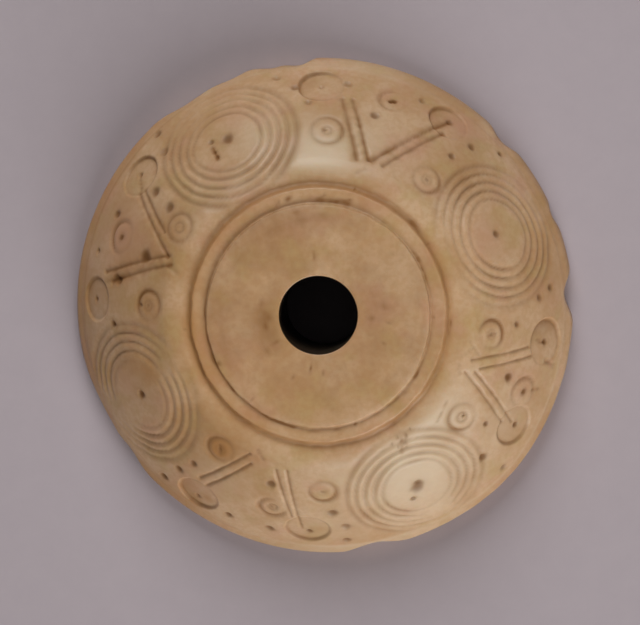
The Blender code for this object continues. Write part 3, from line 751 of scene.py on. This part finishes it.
# Marks on the disc: angle, radius in millimetres, size across and out, strength
discMarks = (
    (180.0, 4.2, 0.45, 0.12, 0.8), (183.0, 3.85, 0.35, 0.12, 0.7), (192.0, 4.0, 0.3, 0.1, 0.5),
    (168.0, 4.3, 0.3, 0.15, 0.35), (213.0, 3.85, 0.16, 0.2, 0.5), (262.0, 4.05, 0.1, 0.25, 0.8),
    (94.0, 4.5, 0.12, 0.25, 0.6), (275.0, 4.35, 0.12, 0.12, 0.5), (248.0, 5.1, 0.12, 0.1, 0.45),
    (298.0, 4.5, 0.12, 0.1, 0.45), (357.0, 4.0, 0.25, 0.3, 0.45), (354.0, 5.3, 0.12, 0.14, 0.45),
    (337.0, 5.4, 0.14, 0.1, 0.4), (8.0, 5.0, 0.35, 0.3, 0.25), (215.0, 4.7, 0.3, 0.2, 0.35),
    (232.0, 8.1, 0.1, 0.25, 0.35), (139.0, 8.25, 0.14, 0.12, 0.35), (102.0, 7.9, 0.5, 0.2, 0.3),
    (100.0, 7.3, 0.9, 0.35, 0.3), (88.0, 7.5, 0.6, 0.25, 0.25), (120.0, 7.2, 1.0, 0.3, 0.2),
    (150.0, 7.4, 0.9, 0.3, 0.2), (40.0, 7.3, 0.3, 0.1, 0.2), (254.0, 7.9, 0.3, 0.1, 0.25),
    (320.0, 7.2, 0.9, 0.2, 0.2), (195.0, 7.5, 0.8, 0.25, 0.2), (10.0, 7.6, 0.6, 0.2, 0.15),
)


# How strongly soil, honey, wear, painted shade and painted highlight show on the collar, the rim and the
# edges. Three numbers are a place:
# its angle, its half width in degrees and its strength.
tints = {
    "stepSoil": 0.3,
    "ledgeSoil": 0.14,
    "ledgeSoilMore": (90.0, 24.0, 0.1),
    "ledgeSoilSpread": (212.0, 42.0, 1.3),
    "ledgePatches": 0.12,
    "ledgeSpecks": 0.1,
    "coveSoil": 0.36,
    "coveSoilLess": (172.0, 24.0, 0.24),
    "discSoil": 0.2,
    "discSoilOneSide": (140.0, 0.16),  # direction, how much more there and less across from it
    "discSoilMore": (190.0, 40.0, 0.3),
    "discPatches": (0.2, 0.16, 0.12),  # wide, middling and fine
    # painted shade on the low rim band, where it turns under towards the floor
    "lowRimShade": 0.3,
    # painted shade along the crease on the side away from the lamps, and a painted highlight along it on
    # the lamp side
    "creaseShade": (150.0, 40.0, 0.2),
    "creaseHighlight": (325.0, 32.0, 0.35),
    "edgesWorn": 0.22,
    "coveHoney": 0.5,
    "discHoney": 0.12,
    "ledgeHoney": 0.1,
    "ledgeHoneyMore": (165.0, 95.0, 0.22),
    # painted shade, in the honey colour, over the side away from both lamps
    "sideShade": (200.0, 60.0, 0.16),
}


def spotsOn(surface, name):
    total = np.zeros(len(surface["ways"]))
    for angle, share, radius, strength in domeSpots[name]:
        across, down = fromPlace(surface["ways"], angle, share)
        away = np.hypot(across, down) * (1.0 + 0.3 * surface["cloud"])
        total = np.maximum(total, strength * bell(away, radius))
    return total


def marksOn(marks, radius, angle):
    total = np.zeros(len(radius))
    for middle, out, wide, long, strength in marks:
        across = np.radians(aroundTo(angle, middle)) * out
        total = total + strength * bell(across, wide) * bell(radius - out, long)
    return total


def roundRim(places, angle):
    return sum(atSide(angle, *place) for place in places)


def collarDirt(surface, radius, angle):
    # brown in the step and in the cove, a little on the ledge itself, and single marks
    waver = radius + 0.05 * surface["fine"]
    onLedge = fadeIn(discRadius + 0.02, discRadius + 0.12, radius)
    onLedge = onLedge * (1.0 - fadeIn(ledgeOuter - 0.1, ledgeOuter, radius))
    step = bell(waver - discRadius - 0.14, 0.13) * np.clip(1.0 + 1.2 * surface["cloud"], 0.4, 1.6)
    byStep = bell(waver - discRadius - 0.15, 0.4) * (1.0 + atSide(angle, *tints["ledgeSoilSpread"]))
    ledge = (tints["ledgeSoil"] + atSide(angle, *tints["ledgeSoilMore"])) * byStep
    ledge = ledge + tints["ledgePatches"] * surface["patch"] + tints["ledgeSpecks"] * surface["fine"]
    outward = waver - ledgeOuter - 0.1
    cove = bell(outward, np.where(outward < 0.0, 0.14, 0.34)) * np.clip(1.0 + surface["cloud"], 0.5, 1.5)
    coveSoil = tints["coveSoil"] - atSide(angle, *tints["coveSoilLess"])
    marks = marksOn(collarMarks, waver, angle) * np.clip(1.0 + 0.8 * surface["fine"], 0.5, 1.4)
    return onLedge * ledge + tints["stepSoil"] * step + coveSoil * cove + marks


def discDirt(surface, radius, angle):
    onDisc = (radius < discRadius) * fadeIn(whorl["boreRadius"], whorl["boreRadius"] + 0.2, radius)
    direction, more = tints["discSoilOneSide"]
    total = tints["discSoil"] + more * np.cos(np.radians(angle - direction)) * fadeIn(5.0, 7.0, radius)
    total = total + atSide(angle, *tints["discSoilMore"]) * bell(radius - 4.0, 0.9)
    for strength, name in zip(tints["discPatches"], ("patch", "cloud", "fine")):
        total = total + strength * surface[name]
    return onDisc * (total + marksOn(discMarks, radius, angle))


def zonesOf(points, share):
    # how far each point belongs to each zone of the whorl
    radius, height = outOfMiddle(points), points[:, 2]
    onLedge = fadeIn(discRadius, discRadius + 0.1, radius)
    return {
        "top": height > shoulderHeight - 0.8,
        "dome": fadeIn(-0.09, 0.06, share) * (height > 1.5),
        "crease": bell(share - 0.985, 0.012),  # the line where the dome meets the rim band
        "rim": fadeIn(0.955, 0.985, share) * (height < rimHeight + 1.0),
        "lowRim": (1.0 - fadeIn(widestHeight - 0.1, rimHeight, height)) * (height > 0.1),
        "aboveEdge": height > 1.0,
        "disc": (radius < discRadius) * (radius > whorl["boreRadius"]),
        "ledge": onLedge * (1.0 - fadeIn(ledgeOuter, ledgeOuter + 0.3, radius)),
        "cove": bell(radius - ledgeOuter - 0.22, 0.35),
        "edges": bell(radius - discRadius + 0.1, 0.07) + bell(radius - ledgeOuter + 0.13, 0.09),
        "bore": (radius < whorl["boreRadius"] + 0.06) & (height < topHeight - 0.05),
    }


# wear on the dome, the rim and the edges, with painted sheen on the sides that face the lamps
def wearAndSheenLayer(surface, zones, angle):
    wearAndSheen = zones["dome"] * spotsOn(surface, "wearAndSheen") + zones["rim"] * roundRim(rimPale, angle)
    # painted highlight along the crease where it faces the low lamp
    wearAndSheen = wearAndSheen + zones["crease"] * atSide(angle, *tints["creaseHighlight"])
    broken = np.clip(0.7 + 1.5 * surface["cloud"], 0.0, 1.3)
    return wearAndSheen + tints["edgesWorn"] * zones["top"] * zones["edges"] * broken


def honeyAndShadeLayer(surface, zones, angle):
    honeyAndShade = zones["dome"] * spotsOn(surface, "honeyAndShade") + zones["rim"] * roundRim(rimStains, angle)
    # painted shade on the side away from both lamps
    honeyAndShade = honeyAndShade + zones["aboveEdge"] * atSide(angle, *tints["sideShade"])
    ledge = zones["ledge"] * (tints["ledgeHoney"] + atSide(angle, *tints["ledgeHoneyMore"]))
    collar = tints["coveHoney"] * zones["cove"] + tints["discHoney"] * zones["disc"] + ledge
    return honeyAndShade + zones["top"] * collar


def dirtLayer(surface, zones, radius, angle):
    # soil from the carving, with painted shade on the low rim band
    dirt = surface["dirt"] + tints["lowRimShade"] * zones["lowRim"]
    # painted shade along the crease on the side away from the lamps
    dirt = dirt + zones["crease"] * atSide(angle, *tints["creaseShade"])
    return dirt + zones["top"] * (collarDirt(surface, radius, angle) + discDirt(surface, radius, angle))


def paintWhorl(mesh, surface):
    points = surface["points"]
    radius, angle = outOfMiddle(points), anglesOf(points)
    zones = zonesOf(points, surface["share"])
    layers = {
        "pink": zones["dome"] * spotsOn(surface, "pink"),
        "wearAndSheen": wearAndSheenLayer(surface, zones, angle),
        "honeyAndShade": honeyAndShadeLayer(surface, zones, angle),
        "dirt": dirtLayer(surface, zones, radius, angle),
        "dark": surface["dark"],
        # the bore wall painted near-black: painted shade of the deep hole, with some soot
        "sootAndShade": zones["bore"].astype(float),
    }
    for name, values in layers.items():
        layer = mesh.attributes.new(name, "FLOAT", "POINT")
        layer.data.foreach_set("value", np.clip(values, 0.0, 0.95).astype(np.float32))
    print("colours painted")


def makeWhorl():
    bm = turnWhorl()
    refineCarving(bm)
    surface = shapeWhorl(bm)
    bmesh.ops.scale(bm, vec=(metre,) * 3, verts=bm.verts[:])
    mesh = bpy.data.meshes.new("carved_whorl")
    bm.to_mesh(mesh)
    bm.free()
    mesh.shade_smooth()
    paintWhorl(mesh, surface)
    piece = bpy.data.objects.new("carved_whorl", mesh)
    bpy.context.scene.collection.objects.link(piece)
    mesh.materials.append(wornBone())
    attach(piece, "root")
    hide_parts("spindle_whorl")


def makeFloor():
    bm = bmesh.new()
    bmesh.ops.create_grid(bm, x_segments=2, y_segments=2, size=paper["halfWidth"] * metre)
    mesh = bpy.data.meshes.new("paper_floor")
    bm.to_mesh(mesh)
    bm.free()
    mesh.transform(Matrix.Translation((0.0, 0.0, -paper["drop"] * metre)))
    floor = bpy.data.objects.new("paper_floor", mesh)
    bpy.context.scene.collection.objects.link(floor)
    mesh.materials.append(palePaper())


# Camera and lamps

camera = {
    "lean": 5.2,  # degrees off the whorl's axis
    "leanTowards": 56.0,
    "aim": (-0.36, -0.52, 1.1),
    "distance": 600.0,
    "frameWidth": 49.02,  # what the picture spans at the aim, in millimetres
    "sensorWidth": 36.0,
    "clipStart": 10.0,
}

lamps = {
    # towards the lamp: angle round the axis, height above the floor in degrees; size; power
    "lampLow": (295.0, 29.0, 460.0, 1.42),
    "lampHigh": (97.0, 40.0, 340.0, 1.08),
    "distance": 500.0,
    "power": 1.43,
    "skyShade": srgb(150, 150, 155),
    "skyStrength": 0.03,
}


def towards(angle, height):
    turn, rise = math.radians(angle), math.radians(height)
    return Vector((math.cos(rise) * math.cos(turn), math.cos(rise) * math.sin(turn), math.sin(rise)))


def makeCamera():
    data = bpy.data.cameras.new("camera")
    data.sensor_width = camera["sensorWidth"]
    data.lens = data.sensor_width * camera["distance"] / camera["frameWidth"]
    data.clip_start = camera["clipStart"] * metre
    back = towards(camera["leanTowards"], 90.0 - camera["lean"])
    right = Vector((0.0, 1.0, 0.0)).cross(back).normalized()
    top = back.cross(right)
    eye = bpy.data.objects.new("camera", data)
    bpy.context.scene.collection.objects.link(eye)
    place = (Vector(camera["aim"]) + camera["distance"] * back) * metre
    eye.matrix_world = Matrix.Translation(place) @ Matrix((right, top, back)).transposed().to_4x4()
    bpy.context.scene.camera = eye


def makeLamp(name):
    angle, height, size, share = lamps[name]
    data = bpy.data.lights.new(name, "AREA")
    data.shape = "DISK"
    data.size = size * metre
    data.energy = lamps["power"] * share
    lamp = bpy.data.objects.new(name, data)
    bpy.context.scene.collection.objects.link(lamp)
    away = towards(angle, height)
    lamp.location = away * lamps["distance"] * metre
    lamp.rotation_euler = away.to_track_quat("Z", "Y").to_euler()


def makeSky():
    world = bpy.data.worlds.new("soft_sky")
    world.use_nodes = True
    sky = world.node_tree.nodes["Background"]
    sky.inputs["Color"].default_value = lamps["skyShade"]
    sky.inputs["Strength"].default_value = lamps["skyStrength"]
    bpy.context.scene.world = world


bpy.context.scene.view_settings.view_transform = "Standard"
makeCamera()
for lampName in ("lampLow", "lampHigh"):
    makeLamp(lampName)
makeSky()
makeFloor()
makeWhorl()
print("pieces made")
